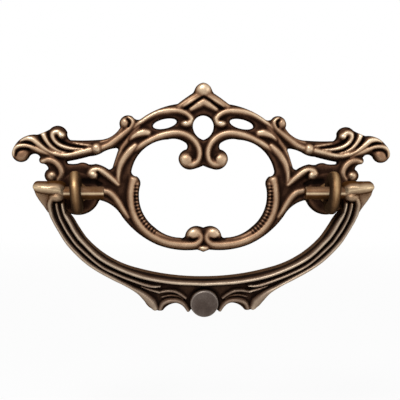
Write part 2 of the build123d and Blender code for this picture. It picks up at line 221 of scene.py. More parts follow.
def ring_line(centre, half_axes, tilt, steps=96):
    """A closed ellipse: the two half axes times the cosine and sine of an angle, turned by the tilt."""
    angle = np.linspace(0, 2 * np.pi, steps + 1)
    u, v = half_axes[0] * np.cos(angle), half_axes[1] * np.sin(angle)
    x = centre[0] + u * np.cos(tilt) - v * np.sin(tilt)
    z = centre[1] + u * np.sin(tilt) + v * np.cos(tilt)
    return np.stack([x, z], 1)


def smooth_line(points, steps=8):
    """A line that passes through every point, each span a cubic whose end slopes are half the chord
    between the points on either side."""
    p = np.asarray(points, float)
    p = np.concatenate([2 * p[:1] - p[1:2], p, 2 * p[-1:] - p[-2:-1]])
    t = np.linspace(0, 1, steps, endpoint=False)[None, :, None]
    a, b, c, d = (p[k : len(p) - 3 + k, None, :] for k in range(4))
    spans = (2 * b + (c - a) * t + (2 * a - 5 * b + 4 * c - d) * t**2 + (3 * b - a - 3 * c + d) * t**3) / 2
    return np.concatenate([spans.reshape(-1, 2), p[-2:-1]])


def inside_depth(x, z, lines):
    """Depth inside the outlines, negative outside, and the nearest outline point. Each straight run
    gives the distance to its clamped foot, and a point is inside where an odd number of runs lie to its
    right."""
    depth = np.full(x.shape, np.inf)
    near = np.zeros((2,) + x.shape)
    odd = np.zeros(x.shape, bool)
    for line in lines:
        for (ax, az), (bx, bz) in zip(line[:-1], line[1:]):
            run_x, run_z = bx - ax, bz - az
            length = run_x**2 + run_z**2
            if length < 1e-12:
                continue
            share = np.clip(((x - ax) * run_x + (z - az) * run_z) / length, 0, 1)
            foot_x, foot_z = ax + share * run_x, az + share * run_z
            gap = np.hypot(x - foot_x, z - foot_z)
            closer = gap < depth
            depth = np.where(closer, gap, depth)
            near = np.where(closer, (foot_x, foot_z), near)
            if abs(run_z) > 1e-9:
                odd ^= ((az > z) != (bz > z)) & (x < ax + (z - az) * run_x / run_z)
    return np.where(odd, depth, -depth), near


def nearest_on(x, z, line):
    """Distance from every point to a line, and the share of the line's steps, 0 to 1, before its nearest
    place. The place is the foot of the perpendicular on each step, held between the step's ends."""
    a, run = line[:-1], np.diff(line, axis=0)
    share = ((x[:, None] - a[:, 0]) * run[:, 0] + (z[:, None] - a[:, 1]) * run[:, 1]) / (run**2).sum(1)
    share = np.clip(share, 0, 1)
    gap = np.hypot(x[:, None] - a[:, 0] - share * run[:, 0], z[:, None] - a[:, 1] - share * run[:, 1])
    best = gap.argmin(1)
    row = np.arange(len(x))
    return gap[row, best], (best + share[row, best]) / len(run)


def near_line(x, z, line, reach):
    """Marks the points within reach of the line's own box."""
    low, high = line.min(0) - reach, line.max(0) + reach
    return (x > low[0]) & (x < high[0]) & (z > low[1]) & (z < high[1])


def bare_field(count, web):
    """A surface with no forms on it: the web's height as the highest and the next below, and no
    polish."""
    return {"height": np.full(count, web), "under": np.full(count, web), "polish": np.zeros(count)}


def lift(field, where, height, polish):
    """Raises part of a surface to a new form where that stands higher. Height is the highest form, under
    the next below it, and polish that of the highest."""
    high, under = field["height"][where], field["under"][where]
    over = height > high
    field["under"][where] = np.where(over, high, np.maximum(under, height))
    field["height"][where] = np.where(over, height, high)
    field["polish"][where] = np.where(over, polish, field["polish"][where])


def raise_bar(field, x, z, points, half_widths, tops, foot, polish, spread=1.0):
    """Lifts the surface to a rounded bar along a line: foot plus rise times (1 - share^2.4)^0.6, where
    share is the distance over the half width. The polish falls off as (1 - share^spread)^1.15. Half
    width and top change evenly along the line."""
    line = smooth_line(points)
    close = np.flatnonzero(near_line(x, z, line, max(half_widths)))
    gap, where = nearest_on(x[close], z[close], line)
    share = np.clip(gap / np.interp(where, np.linspace(0, 1, len(half_widths)), half_widths), 0, 1)
    top = np.interp(where, np.linspace(0, 1, len(tops)), tops)
    lift(field, close, foot + (top - foot) * (1 - share**2.4) ** 0.6, polish * (1 - share**spread) ** 1.15)


def raise_ball(field, x, z, centre, half_sizes, top, foot, polish, spread):
    """Lifts the surface to half an ellipsoid: foot plus rise times the root of 1 - share^2, where share
    is the distance over the half size. The polish falls off as 1 - share^spread."""
    share = np.hypot((x - centre[0]) / half_sizes[0], (z - centre[1]) / half_sizes[1])
    close = np.flatnonzero(share < 1)
    share = share[close]
    lift(field, close, foot + (top - foot) * np.sqrt(1 - share**2), polish * (1 - share**spread))


def sink_meeting(field, foot, width, depth, least_rise=0.25, fade=0.4):
    """Sinks a groove where two forms meet: depth times the closeness of the two heights to the 1.5,
    fading in where the lower one stands the least rise above the foot. Gives the share of the depth at
    each point."""
    close = np.clip(1 - (field["height"] - field["under"]) / width, 0, 1)
    share = close**1.5 * np.clip((field["under"] - foot - least_rise) / fade, 0, 1)
    field["height"] = field["height"] - depth * share
    return share


def cut_crease(field, x, z, points, half_widths, depth, darkening=1.2):
    """Sinks a crease along a line, depth times (1 - share squared)^1.5, where share is the distance over
    the half width, and darkens it in proportion. The half width changes evenly along it."""
    line = smooth_line(points)
    close = near_line(x, z, line, max(half_widths))
    gap, where = nearest_on(x[close], z[close], line)
    half_width = np.interp(where, np.linspace(0, 1, len(half_widths)), half_widths)
    share = np.clip(1 - (gap / half_width) ** 2, 0, 1) ** 1.5
    field["height"][close] -= depth * share
    field["polish"][close] -= darkening * depth * share


def softened(field, passes):
    """A blurred copy of a grid: each pass takes a quarter, a half and a quarter of neighbours, both
    ways."""
    for _ in range(passes):
        for axis in (0, 1):
            ends = np.take(field, [0], axis), np.take(field, [-1], axis)
            wide = np.concatenate([ends[0], field, ends[1]], axis)
            low, high = np.split(wide, [wide.shape[axis] - 2], axis)[0], np.split(wide, [2], axis)[1]
            field = low / 4 + field / 2 + high / 4
    return field


def round_depth(x, z, centre, radius):
    """Depth inside a circle, its radius less the distance from its centre, and the nearest point on
    it."""
    reach = np.maximum(np.hypot(x - centre[0], z - centre[1]), 1e-6)
    near_x = centre[0] + (x - centre[0]) * radius / reach
    near_z = centre[1] + (z - centre[1]) * radius / reach
    return radius - reach, np.stack([near_x, near_z])


def casting_grid(lines, low, high, pitch, discs=(), holes=(), snap_share=0.35):
    """A square grid over the right half, inside the outlines or a disc and outside the holes. Points no
    deeper than a share of the pitch are moved on to the edge. Gives place, depth inside, and which are
    metal."""
    columns, rows = np.arange(0, high[0] + pitch, pitch), np.arange(low, high[1] + pitch, pitch)
    grid_x, grid_z = np.meshgrid(columns, rows, indexing="ij")
    depth, near = inside_depth(grid_x, grid_z, lines)
    for centre, radius in discs:
        other, foot = round_depth(grid_x, grid_z, centre, radius)
        near, depth = np.where(other > depth, foot, near), np.maximum(depth, other)
    for centre, radius in holes:
        other, foot = round_depth(grid_x, grid_z, centre, radius)
        near, depth = np.where(-other < depth, foot, near), np.minimum(depth, -other)
    metal = depth > snap_share * pitch
    x, z = np.where(metal, grid_x, near[0]), np.where(metal, grid_z, near[1])
    x[0] = 0
    return x, z, np.where(metal, depth, 0), metal


def summed(shares, causes):
    """Wear from its causes: the sum of each cause times its share."""
    return sum(share * cause for share, cause in zip(shares, causes))


def edge_round(depth, width):
    """A quarter circle over an edge: the root of 1 - (1 - share)^2, where share is the depth over the
    width."""
    return np.sqrt(1 - (1 - np.clip(depth / width, 0, 1)) ** 2)


def closed_casting(x, z, metal, front, back, wear, place, wall_rows, wall_wear, back_wear):
    """Mirrors the right half and closes it: front and back sheets over the same cells, joined by rows of
    wall round every edge. place turns x, z and height into a point of the frame. Gives points, faces and
    wear."""
    x = np.concatenate([-x[:0:-1], x])
    z, metal, front, back, wear = (np.concatenate([a[:0:-1], a]) for a in (z, metal, front, back, wear))
    cell = metal[:-1, :-1] | metal[1:, :-1] | metal[1:, 1:] | metal[:-1, 1:]
    number = np.arange(x.size).reshape(x.shape)
    corners = number[:-1, :-1], number[1:, :-1], number[1:, 1:], number[:-1, 1:]
    faces = np.stack([c[cell] for c in corners], 1)
    wide = np.pad(cell, 1)
    outside = wide[1:-1, :-2], wide[2:, 1:-1], wide[1:-1, 2:], wide[:-2, 1:-1]
    bare = [cell & ~wide_cell for wide_cell in outside]
    ends = zip(corners, corners[1:] + corners[:1], bare)
    edges = np.concatenate([np.stack([start[side], end[side]], 1) for start, end, side in ends])
    share = np.linspace(0, 1, wall_rows + 2)[:, None]
    flat = [a.ravel() for a in (x, z, front, back, wear)]
    heights = flat[2] + share * (flat[3] - flat[2])
    layers = [place(flat[0], flat[1], h) for h in heights]
    tones = [flat[4]] + [np.full(x.size, wall_wear)] * wall_rows + [np.full(x.size, back_wear)]
    wall = np.concatenate([edges[:, ::-1], edges + x.size], 1)
    walls = [wall + k * x.size for k in range(wall_rows + 1)]
    faces = np.concatenate([faces, faces[:, ::-1] + (wall_rows + 1) * x.size] + walls)
    used, faces = np.unique(faces, return_inverse=True)
    return np.concatenate(layers)[used], faces.reshape(-1, 4), np.concatenate(tones)[used]


def put_piece(name, shells, material, body, nodes, weld_gap=2e-6, least_edge=1e-6, sharp_angle=55):
    """Makes one object of closed shells of four-cornered faces, welds poles and seams, smooths all but
    sharp edges, and gives it its wear attribute, material and place in the frame."""
    points = np.concatenate([s[0] for s in shells]) * MM
    start = np.cumsum([0] + [len(s[0]) for s in shells])
    faces = np.concatenate([s[1] + k for s, k in zip(shells, start)])
    wear = np.concatenate([s[2] for s in shells])
    mesh = bpy.data.meshes.new(name)
    mesh.vertices.add(len(points))
    mesh.vertices.foreach_set("co", points.astype(np.float32).ravel())
    mesh.loops.add(faces.size)
    mesh.loops.foreach_set("vertex_index", faces.astype(np.int32).ravel())
    mesh.polygons.add(len(faces))
    mesh.polygons.foreach_set("loop_start", np.arange(0, faces.size, 4, dtype=np.int32))
    mesh.update(calc_edges=True)
    mesh.attributes.new("wear", "FLOAT", "POINT").data.foreach_set("value", wear.astype(np.float32))
    welded = bmesh.new()
    welded.from_mesh(mesh)
    bmesh.ops.remove_doubles(welded, verts=welded.verts, dist=weld_gap)
    bmesh.ops.dissolve_degenerate(welded, edges=welded.edges, dist=least_edge)
    welded.to_mesh(mesh)
    welded.free()
    mesh.polygons.foreach_set("use_smooth", np.ones(len(mesh.polygons), bool))
    mesh.set_sharp_from_angle(angle=np.radians(sharp_angle))
    mesh.materials.append(material)
    piece = bpy.data.objects.new(name, mesh)
    bpy.context.scene.collection.objects.link(piece)
    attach(piece, body)
    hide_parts(*nodes)


def antiqued_brass(name, tones, cloud_scale, gloss, fine_scale=2600.0):
    """Darkened brass rubbed back: the wear attribute, stirred by a cloudy and a fine noise, picks the
    tone from near black in the hollows to bright metal on the crests; on some pieces the attribute also
    carries painted light and shade. Rubbed metal is smoother, and the fine noise also makes a slight bump."""
    material = bpy.data.materials.new(name)
    material.use_nodes = True
    nodes, link = material.node_tree.nodes, material.node_tree.links.new
    shader = nodes["Principled BSDF"]
    shader.inputs["Specular IOR Level"].default_value = 0.0
    shader.inputs["Specular Tint"].default_value = (0.75, 0.62, 0.48, 1)
    place = nodes.new("ShaderNodeTexCoord")
    wear = nodes.new("ShaderNodeAttribute")
    wear.attribute_name = "wear"
    total = wear.outputs["Fac"]
    for scale, detail, weight in ((cloud_scale, 4.0, 0.2), (fine_scale, 3.0, 0.12)):
        noise = nodes.new("ShaderNodeTexNoise")
        noise.inputs["Scale"].default_value = scale
        noise.inputs["Detail"].default_value = detail
        link(place.outputs["Object"], noise.inputs["Vector"])
        stir = nodes.new("ShaderNodeMath")
        stir.operation = "MULTIPLY_ADD"
        stir.inputs[1].default_value = weight
        stir.inputs[2].default_value = -weight / 2
        link(noise.outputs["Fac"], stir.inputs[0])
        join = nodes.new("ShaderNodeMath")
        join.operation = "ADD"
        link(total, join.inputs[0])
        link(stir.outputs[0], join.inputs[1])
        total = join.outputs[0]
    ramp = nodes.new("ShaderNodeValToRGB")
    stops = ramp.color_ramp.elements
    while len(stops) < len(tones):
        stops.new(0.5)
    for stop, (position, colour) in zip(stops, tones):
        stop.position = position
        stop.color = (*colour, 1)
    link(total, ramp.inputs["Fac"])
    link(ramp.outputs["Color"], shader.inputs["Base Color"])
    for socket, low, high in (("Metallic", 0.1, 0.85), ("Roughness", 0.62, gloss)):
        spread = nodes.new("ShaderNodeMapRange")
        spread.inputs["To Min"].default_value = low
        spread.inputs["To Max"].default_value = high
        link(total, spread.inputs["Value"])
        link(spread.outputs["Result"], shader.inputs[socket])
    bump = nodes.new("ShaderNodeBump")
    bump.inputs["Strength"].default_value = 0.25
    bump.inputs["Distance"].default_value = 0.00006
    link(noise.outputs["Fac"], bump.inputs["Height"])
    link(bump.outputs["Normal"], shader.inputs["Normal"])
    return material


plate_tones = [
    (0.0, (0.004, 0.0025, 0.002)), (0.2, (0.018, 0.008, 0.005)), (0.4, (0.095, 0.045, 0.025)),
    (0.6, (0.245, 0.14, 0.082)), (0.8, (0.47, 0.33, 0.215)), (1.0, (0.74, 0.6, 0.43)),
]
plate_brass = antiqued_brass("plate_antiqued_brass", plate_tones, cloud_scale=420.0, gloss=0.36)

plate_lines = [arc_chain(p) for p in (plate_outline, central_opening, crest_opening, wing_opening)]
plate_lines.append(ring_line(oval_centre, oval_half_axes, oval_tilt))
plate_grid_x, plate_grid_z, plate_depth, plate_metal = casting_grid(
    plate_lines, plate_lowest, plate_far_corner, plate_pitch,
    [(boss_centre, boss_radius)], [(boss_centre, shoulder_hole)],
)
plate_x, plate_z = plate_grid_x.ravel(), plate_grid_z.ravel()
plate_field = bare_field(plate_x.size, plate_web)
boss_gap = np.hypot(plate_x - boss_centre[0], plate_z - boss_centre[1])
boss_share = boss_gap / boss_radius
on_boss = np.flatnonzero(boss_share < 1)
boss_rise = np.clip((1 - boss_share[on_boss]) * boss_edge_slope, 0, 1)
# Painted shade: the boss is darkened where the eye post stands over it
lift(plate_field, on_boss, plate_web + (boss_top - plate_web) * boss_rise, boss_painted_shade)
for bars, spread in ((plate_scrolls, scroll_spread), (plate_leaves, leaf_spread)):
    for points, half_widths, rises, polish in bars:
        tops = [plate_web + rise for rise in rises]
        raise_bar(plate_field, plate_x, plate_z, points, half_widths, tops, plate_web, polish, spread)
for centre, half_sizes, top, polish in plate_balls:
    raise_ball(plate_field, plate_x, plate_z, centre, half_sizes, top, plate_web, polish, ball_spread)
meeting = sink_meeting(plate_field, plate_web, *plate_groove)
for centre, half_sizes, top, polish in plate_heads:
    raise_ball(plate_field, plate_x, plate_z, centre, half_sizes, top, plate_web, polish, head_spread)
# The arris is raised and worn, and its brightness is also a painted highlight
arris_tops = [plate_web + rise for rise in plate_arris_and_highlight[2]]
raise_bar(plate_field, plate_x, plate_z, *plate_arris_and_highlight[:2], arris_tops, plate_web, plate_arris_and_highlight[3])
for points, half_widths, depth in plate_creases:
    cut_crease(plate_field, plate_x, plate_z, points, half_widths, depth)
relief = plate_field["height"]
notch_gap, notch_where = nearest_on(plate_x, plate_z, smooth_line(notch_line))
notch = np.clip(np.cos(2 * np.pi * notch_count * notch_where) * notch_sharpness - notch_land, 0, 1)
notch *= np.clip((notch_reach - notch_gap) / notch_fade, 0, 1) * (notch_where > 0) * (notch_where < 1)
relief -= notch_depth * notch
relief = softened(relief.reshape(plate_grid_x.shape), 1)
roll = edge_round(plate_depth, plate_edge_roll)
roll = np.where(boss_gap.reshape(roll.shape) < shoulder_hole + hole_land, 1, roll)
plate_front = plate_edge_height + (relief - plate_edge_height) * roll
step_out = plate_front - softened(plate_front, plate_blur_passes)
polish, groove, notch = (a.reshape(roll.shape) for a in (plate_field["polish"], meeting, notch))
# The edge's share darkens the rolled edges as painted shade; the polish also carries painted shade and a
# painted highlight
plate_wear_and_painted_light = summed(plate_wear_and_light_shares, (1, step_out, polish, 1 - roll, groove, notch))
plate_wear_and_painted_light = np.clip(softened(plate_wear_and_painted_light, 1), plate_least_wear, 1)


def on_plate(x, z, height):
    """A place on the plate: its height is taken off Y, which is 0 on the drawer front."""
    return np.stack([x, -height, z], 1)


plate_shell = closed_casting(
    plate_grid_x, plate_grid_z, plate_metal, plate_front, np.zeros_like(plate_front), plate_wear_and_painted_light, on_plate,
    *plate_wall,
)
put_piece("backplate_casting", [plate_shell], plate_brass, "fixed", ["backplate"])

# Eye posts: each is one turned brass piece, a thick rounded ring on a collar, with a shoulder that
# fits the plate's hole and a stud that goes through the drawer front and ends in a cut thread.
# They are pushed through from the front, and the nuts draw their collars on to the bosses.
pin_height = 10.0
eye_outer = 6.45
eye_bore = 2.3
eye_width = 3.2
eye_turn = np.radians(5.0)
thread_start = 16.0
thread_end = 24.6
thread_pitch = 0.8
thread_crest = 1.98
thread_root = 1.62
thread_rows = 8
thread_tip = 0.4
thread_tip_radius = 1.45
# Ring tones: its ground and its rubbed crest, which painted light raises on top and painted shade lowers
# underneath
ring_ground_wear = 0.19
ring_crest_wear = 0.36
ring_painted_light_shift = 0.25
ring_painted_light_most = 0.3
shank_wear = 0.43
thread_ground_wear = 0.325
thread_crest_wear = 0.35
tip_wear = 0.465
# Height from the plate's back along the post, and the radius there
shank_profile = np.array([
    (-5.2, 0.0), (-5.2, 1.4), (-4.6, 2.3), (-4.1, 2.9), (-3.75, 3.1), (-3.2, 3.1), (-3.2, 2.6), (0.0, 2.6),
    (0.0, 2.0), (15.7, 2.0), (16.0, 1.8),
])


def around(rows, columns, closed_rows):
    """Four-cornered faces of a grid that closes on itself along its columns, and along its rows if
    asked."""
    number = np.arange(rows * columns).reshape(rows, columns)
    after = np.roll(number, -1, 0) if closed_rows else number[1:]
    number = number if closed_rows else number[:-1]
    return np.stack([a.ravel() for a in (number, np.roll(number, -1, 1), np.roll(after, -1, 1), after)], 1)


def rounded_ring(centre, axis, inner, outer, width, turns=96, columns=40, across_power=3.2, along_power=2.6):
    """A ring whose section is a rounded box: across and along are the cosine and sine of the section
    angle to 2 over their power, signs kept, carried round the axis. Its outer crest is rubbed, and painted
    light makes that crest lighter on top while painted shade darkens it underneath."""
    axis = np.asarray(axis, float)
    first = np.array([0.0, 1.0, 0.0])
    second = np.cross(axis, first)
    section = np.linspace(0, 2 * np.pi, columns, endpoint=False)
    c, s = np.cos(section), np.sin(section)
    across = np.sign(c) * np.abs(c) ** (2 / across_power)
    along = np.sign(s) * np.abs(s) ** (2 / along_power)
    reach = (inner + outer) / 2 + across * (outer - inner) / 2
    angle = np.linspace(0, 2 * np.pi, turns, endpoint=False)[:, None]
    points = (
        np.asarray(centre, float)
        + reach[None, :, None] * (np.cos(angle)[..., None] * first + np.sin(angle)[..., None] * second)
        + (along * width / 2)[None, :, None] * axis
    )
    crest = np.clip(across, 0, 1) ** 2 * (1 - np.abs(along) ** 1.1)
    # Painted light and shade: the crest is lighter on top and darker underneath
    painted_top_light = np.clip(np.sin(angle) * np.sign(second[2]) + ring_painted_light_shift, -1, ring_painted_light_most)
    wear = ring_ground_wear + ring_crest_wear * (1 + painted_top_light) * crest
    return points.reshape(-1, 3), around(turns, columns, True)[:, ::-1], wear.ravel()


def turned_shank(x, profile, columns=48):
    """A shank turned about a line along Y: the profile's radius at each height, then a thread whose
    radius is a wave of the height over the pitch less the angle, fading at both ends, and a chamfered
    end."""
    turn_rows = int((thread_end - thread_start - 0.5) / thread_pitch * thread_rows)
    height = np.linspace(thread_start + 0.05, thread_end - thread_tip, turn_rows)
    angle = np.linspace(0, 2 * np.pi, columns, endpoint=False)
    phase = height[:, None] / thread_pitch - angle / (2 * np.pi)
    wave = 1 - np.abs(2 * (phase % 1) - 1)
    end_gap = np.minimum(height - thread_start, thread_end - height)
    wave *= np.clip(end_gap / thread_pitch, 0, 1)[:, None]
    thread = thread_root + (thread_crest - thread_root) * wave
    start = np.repeat(profile[:, 1:], columns, 1)
    finish = np.array([[thread_tip_radius], [0.0]]) * np.ones(columns)
    radius = np.concatenate([start, thread, finish])
    level = np.concatenate([profile[:, 0], height, [thread_end, thread_end]])[:, None] * np.ones(columns)
    points = np.stack([x + radius * np.cos(angle), level, -radius * np.sin(angle)], -1)
    thread_wear = thread_ground_wear + thread_crest_wear * wave
    wear = np.concatenate([np.full_like(start, shank_wear), thread_wear, np.full_like(finish, tip_wear)])
    return points.reshape(-1, 3), around(len(radius), columns, False), wear.ravel()


post_tones = [
    (0.0, (0.008, 0.005, 0.003)), (0.25, (0.035, 0.019, 0.01)), (0.45, (0.15, 0.08, 0.036)),
    (0.65, (0.36, 0.23, 0.115)), (0.85, (0.64, 0.49, 0.29)), (1.0, (0.82, 0.69, 0.47)),
]
post_brass = antiqued_brass("post_antiqued_brass", post_tones, cloud_scale=300.0, gloss=0.3)
for side, label in ((-1, "left"), (1, "right")):
    post_x = side * boss_centre[0]
    eye_axis = (side * np.cos(eye_turn), 0, -np.sin(eye_turn))
    put_piece(
        f"{label}_eye_post_turned",
        [rounded_ring((post_x, -pin_height, 0), eye_axis, eye_bore, eye_outer, eye_width),
         turned_shank(post_x, shank_profile)],
        post_brass, "fixed", [f"{label}_eye_post"],
    )

# Bail: one brass casting hung on the eyes by the pins that stand in from its lugs. Three reeds run
# down each arm, the outer two end in a leaf, and a rail with ribs below it carries a flat round foot.
# It was darkened like the plate, and hands have rubbed the reeds and the foot.
bail_pitch = 0.2
bail_lowest = -38.4
bail_far_corner = (51.0, 3.8)
bail_back = -2.6
bail_web = 1.2
bail_recess = 0.2
bail_lean = np.radians(10.99)
bail_edge_roll = 0.5
bail_edge_drop = 0.55
bracket_corner = (16.5, -27.6)
bracket_fade = (2.0, 0.6)
pin_radius = 1.9
pin_inner = 30.0
pin_seat = 1.5
pin_rounding = (0.12, 0.35)
pin_shares = (0, 0.78, 0.93, 1.0, 1.0, 0)
lug_face = 41.2
lug_overlap = 0.3
lug_radius = 3.5
lug_half_height = 3.6
lug_edge_roll = 1.5
lug_tail_start = 47.6
lug_low = -0.5
lug_fade = 1.5
lug_hollow_start = 40.5
lug_hollow_fade = 0.6
lug_hollow_depth = 1.0
facet_corner = (45.4, -5.5)
facet_height = 1.7
facet_polish = 0.64
foot_centre = (0.0, -33.65)
foot_radius = 4.35
foot_top = 2.7
foot_bevel_start = 0.88
foot_bevel_drop = 1.1
# The right half, on the leaning plane through the pins: across, and up from them
bail_outline = [
    (0, -26.3), (10.5, -25.6), (20.3, -23.5), (29.8, -19.1), (35.5, -13.8), (37.2, -11.2), (38.7, -8.6),
    (39.85, -6.9), (41.2, -5.45), (41.2, -1.5), (41.2, 2.1), (42, 3), (43.3, 3.65), (44.7, 3.65),
    (46, 3.35), (47.2, 3.45), (48.6, 3.5), (50.35, 2.9), (50.8, 1.7), (49.9, -0.15), (47.8, -3.4),
    (46.25, -5.8), (44.75, -8.7), (43, -11.9), (41, -15.4), (34.8, -21.7), (26.5, -26.7), (21.3, -29.7),
    (18, -33.2), (16.4, -35.2), (14.2, -36.3), (13.2, -36.5), (12.4, -36.3), (11, -34.9), (8.4, -34.1),
    (6.5, -35), (5.2, -36.75), (4.4, -36.5), (3.7, -36), (2.26, -37.4), (0, -38),
]
# Reeds and ribs: centre line, half width and height above the pins' plane along it, how far rubbed bright
reed_spread = 1.15
bail_reeds = [
    ([(0, -27.45), (10.6, -26.75), (20.6, -24.55), (30.3, -19.95), (36.2, -14.4), (38.4, -11.5),
      (39.8, -8.9), (41.1, -6.4), (41.8, -4.5), (42.1, -3)],
     (0.85, 0.85, 0.85, 0.9, 0.6), (3, 3.1, 3.1, 3.1, 2.6), 0.85),
    ([(43.75, -3), (43.5, -4.6), (42.8, -7.1), (41.4, -10.1), (39.9, -12.6), (37.5, -15.8), (31.3, -21.5),
      (26, -24.4), (21.2, -26.4), (17.6, -27.7), (15.4, -28.2), (13.4, -28.2)],
     (0.6, 0.6, 0.62, 0.62, 0.65, 0.75, 0.45), (2.8, 2.9, 2.9, 2.9, 2.8, 2.7, 2.2), 0.66),
    ([(19, -28.2), (16.4, -29.2), (13.6, -30.2)], (0.4, 0.55, 0.45), (2.3, 2.4, 1.9), 0.5),
    ([(13.4, -30.2), (11, -29.8), (8.9, -30), (7.1, -31), (5.6, -32.2)],
     (0.5, 0.65, 0.5), (1.5, 1.8, 1.4), 0.3),
    ([(13.4, -35.4), (12.6, -33.9), (10.9, -33), (8.6, -32.85), (6.8, -33.5), (5.6, -34.7), (4.8, -36)],
     (0.75, 0.8, 0.75, 0.7), (1.9, 2, 1.9, 1.7), 0.28),
    ([(13, -31.9), (10.4, -31.3), (7.9, -31.6), (6.4, -32.6)], (0.3, 0.45, 0.3), (1, 1.2, 0.9), 0.16),
]
# The lug, which grows out of the pin: the same four values
lug_spread = 1.8
bail_lugs = [
    ([(36.5, 0), (39.5, 0), (41.5, 0.5), (43.4, 1.3), (45.6, 1.65), (48, 1.9), (50.4, 2)],
     (1.9, 1.9, 1.95, 2.3, 2.2, 2, 1.5), (1.9, 1.9, 2.1, 2.75, 3.15, 3, 2.2), 1.02),
]
# The arris along the lug, raised and worn, its bright line also a painted highlight: the same four values
bail_arris_and_highlight = (
    [(41.4, 0.6), (43.4, 1.25), (45.6, 1.6), (48, 1.85), (50.2, 2)],
    (0.35, 0.6, 0.6, 0.6, 0.45), (2.1, 2.8, 3.2, 3.05, 2.3), 1.45,
)
# The outer reed, from the lobe under the lug to its leaf: the same four values
broad_spread = 2.2
bail_broad = [
    ([(44.6, -0.9), (45.4, -1.8), (45.75, -3.2), (45.5, -5.1), (44.95, -7.2), (43.6, -10), (40.5, -15),
      (34.4, -21.2), (26.2, -26.2), (21.5, -28.8), (19.3, -30.1), (17.4, -31.8), (15.9, -33.5),
      (14.9, -35)],
     (1, 1.05, 1, 0.88, 0.82, 0.8, 0.8, 0.8, 0.8, 0.8, 1.1, 1.5, 1.6, 1.15),
     (2.8, 3, 3.05, 3, 3, 3, 2.95, 2.9, 2.9, 2.9, 2.95, 2.95, 2.8, 2.4), 0.68),
]
# The lobe under the lug, which flows into it: centre, half sizes, top and how far rubbed bright
lobe_spread = 3.5
bail_lobe = ((43.9, -0.95), (2.65, 1.65), 3.1, 0.74)
# Width and depth of the grooves between forms that meet
bail_groove = (0.35, 0.4)
# Wear and painted light: its ground level, then what bracket, height, polish, edge and groove add or take
# away.
# The edge's share is painted shade on the rolled edges, and the polish holds the painted highlight on the
# lug's arris.
# Below it, the least, what the lug adds to that, and the foot's own, whose rim is a painted highlight and
# whose bevel is darkened as painted shade.
bail_wear_and_light_shares = (0.22, 0.06, 0.25, 0.52, -0.16, -0.25)
bail_least_wear = 0.03
lug_least_wear = 0.27
foot_face_wear = 0.35
foot_dish_wear = 0.07
# The rim's lift is a painted highlight, and the darkening of the bevel's outer edge painted shade
foot_rim_painted_highlight = 0.3
foot_bevel_painted_shade = 0.35
bail_blur_passes = 20
# Rows of wall round the edges, their wear and the back's
bail_wall = (5, 0.33, 0.34)
# Wear along the pin from its free end, then the painted highlight along its front and the painted light and
# shade that make its top lighter and its underside darker
pin_wear = (0.3, 0.35, 0.45, 0.33, 0.33, 0.25)
pin_painted_highlight = 0.55
pin_line_power = 50
pin_line_turn = 0.12
pin_painted_top_light = 0.12
pin_side_turn = 0.6

bail_grid_x, bail_grid_v, bail_depth, bail_metal = casting_grid(
    [arc_chain(bail_outline)], bail_lowest, bail_far_corner, bail_pitch
)
bail_x, bail_v = bail_grid_x.ravel(), bail_grid_v.ravel()
bail_field = bare_field(bail_x.size, bail_web)
in_bracket = np.clip((bracket_corner[0] - bail_x) / bracket_fade[0], 0, 1)
in_bracket *= np.clip((bracket_corner[1] - bail_v) / bracket_fade[1], 0, 1)
bail_field["height"] -= (bail_web - bail_recess) * in_bracket
facet = (bail_x > facet_corner[0]) & (bail_v > facet_corner[1])
bail_field["height"] = np.where(facet, facet_height, bail_field["height"])
lug_hollow = np.clip((bail_x - lug_hollow_start) / lug_hollow_fade, 0, 1) * np.clip(bail_v / lug_fade, 0, 1)
bail_field["height"] -= lug_hollow_depth * lug_hollow
bail_field["polish"] = np.where(facet, facet_polish, 0.0)
for bars, spread in ((bail_reeds, reed_spread), (bail_lugs, lug_spread), (bail_broad, broad_spread)):
    for points, half_widths, tops, polish in bars:
        raise_bar(bail_field, bail_x, bail_v, points, half_widths, tops, bail_recess, polish, spread)
bail_meeting = sink_meeting(bail_field, bail_web, *bail_groove)
raise_ball(bail_field, bail_x, bail_v, *bail_lobe[:3], bail_recess, bail_lobe[3], lobe_spread)
# The arris is raised and worn, and its brightness is also a painted highlight
raise_bar(bail_field, bail_x, bail_v, *bail_arris_and_highlight[:3], bail_recess, bail_arris_and_highlight[3])
bail_relief = bail_field["height"]
foot_share = np.hypot(bail_x - foot_centre[0], bail_v - foot_centre[1]) / foot_radius
foot_bevel = np.clip((foot_share - foot_bevel_start) / (1 - foot_bevel_start), 0, 1)
foot_wear_and_painted_light = foot_face_wear + foot_dish_wear * foot_share**2
# Painted highlight round the rim, and painted shade darkening the bevel's outer edge
foot_wear_and_painted_light += foot_rim_painted_highlight * np.sin(np.pi * foot_bevel) - foot_bevel_painted_shade * foot_bevel**3
foot_height = foot_top - foot_bevel_drop * foot_bevel**2
bail_relief = np.where(foot_share < 1, foot_height, bail_relief).reshape(bail_grid_x.shape)
bail_roll = edge_round(bail_depth, bail_edge_roll)
bail_front = bail_relief - bail_edge_drop * (1 - bail_roll)
past_face = bail_grid_x > lug_face - lug_overlap
on_lug = np.clip((bail_grid_v - lug_low) / lug_fade, 0, 1) * past_face
bail_front += on_lug * (bail_relief * edge_round(bail_depth, lug_edge_roll) - bail_front)
lug_depth = -bail_back + (lug_radius + bail_back) * np.clip(lug_tail_start - bail_grid_x, 0, 1)
lug_rear = -lug_depth * np.sqrt(np.clip(1 - (bail_grid_v / lug_half_height) ** 2, 0, 1))
bail_rear = np.where(bail_grid_v > 0, lug_rear, np.minimum(bail_back, lug_rear))
bail_rear = np.where(past_face, bail_rear, bail_back)
bail_step = bail_front - softened(bail_front, bail_blur_passes)
flat_values = foot_share < 1, foot_wear_and_painted_light, in_bracket, bail_field["polish"], bail_meeting
